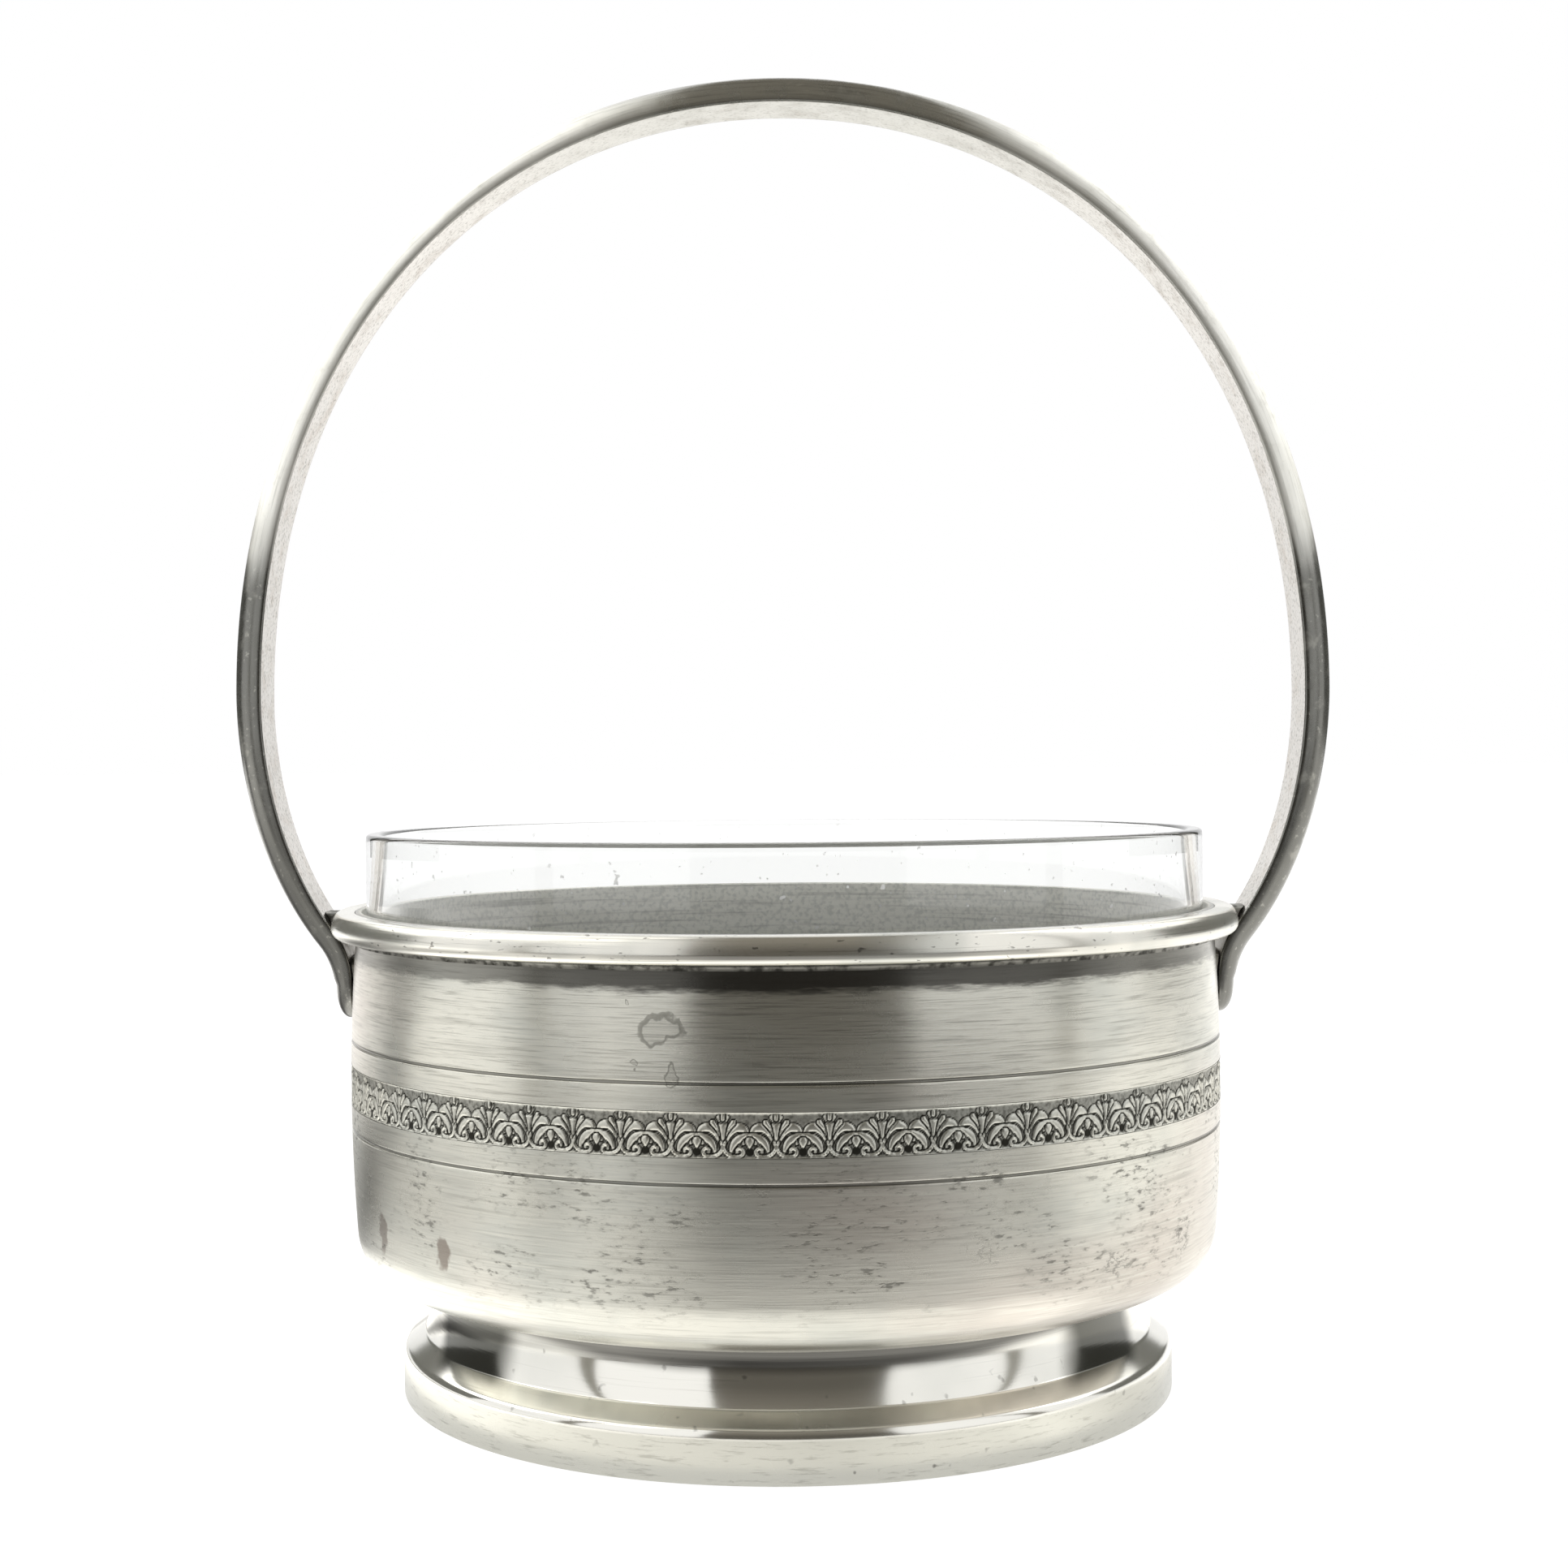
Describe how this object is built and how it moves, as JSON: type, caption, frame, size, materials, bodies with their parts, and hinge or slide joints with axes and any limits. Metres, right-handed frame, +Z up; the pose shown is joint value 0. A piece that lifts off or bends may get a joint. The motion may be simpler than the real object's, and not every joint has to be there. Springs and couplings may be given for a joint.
{
  "type": "sugar basket",
  "caption": "Round plated-metal table basket on a spun foot, with a palmette frieze, a fixed bow handle and a loose clear glass liner that lifts out, for sugar or sweets.",
  "frame": {"origin": "on the table, under the centre of the foot", "axes": "+Z up along the axis of the bowl, +X across the bow from one tongue to the other, -Y towards the viewer in the picture"},
  "size_m": [0.1328, 0.1086, 0.1572],
  "materials": {
    "silver_plate": "silver plate over brass, finely brushed round the bowl, tarnished",
    "polished_plate": "silver plate over brass, turned and polished",
    "oxidised_silver": "rolled relief in silver plate, dark oxide in the ground",
    "solder": "dull dark solder",
    "clear_glass": "clear, polished"
  },
  "bodies": {
    "basket": {"bowl_shell": "silver_plate", "rim_moulding": "silver_plate", "rim_solder": "solder", "frieze_strip": "oxidised_silver", "foot_ring": "polished_plate", "foot_solder": "solder", "handle_bow": "silver_plate", "handle_solder_left": "solder", "handle_solder_right": "solder", "bead_solder_left": "solder", "bead_solder_right": "solder"},
    "liner": {"glass_liner": "clear_glass"}
  },
  "joints": [
    {"name": "liner_lift", "type": "slide", "parent": "basket", "child": "liner", "axis": [0, 0, 1], "range_m": [0, 0.055]}
  ]
}
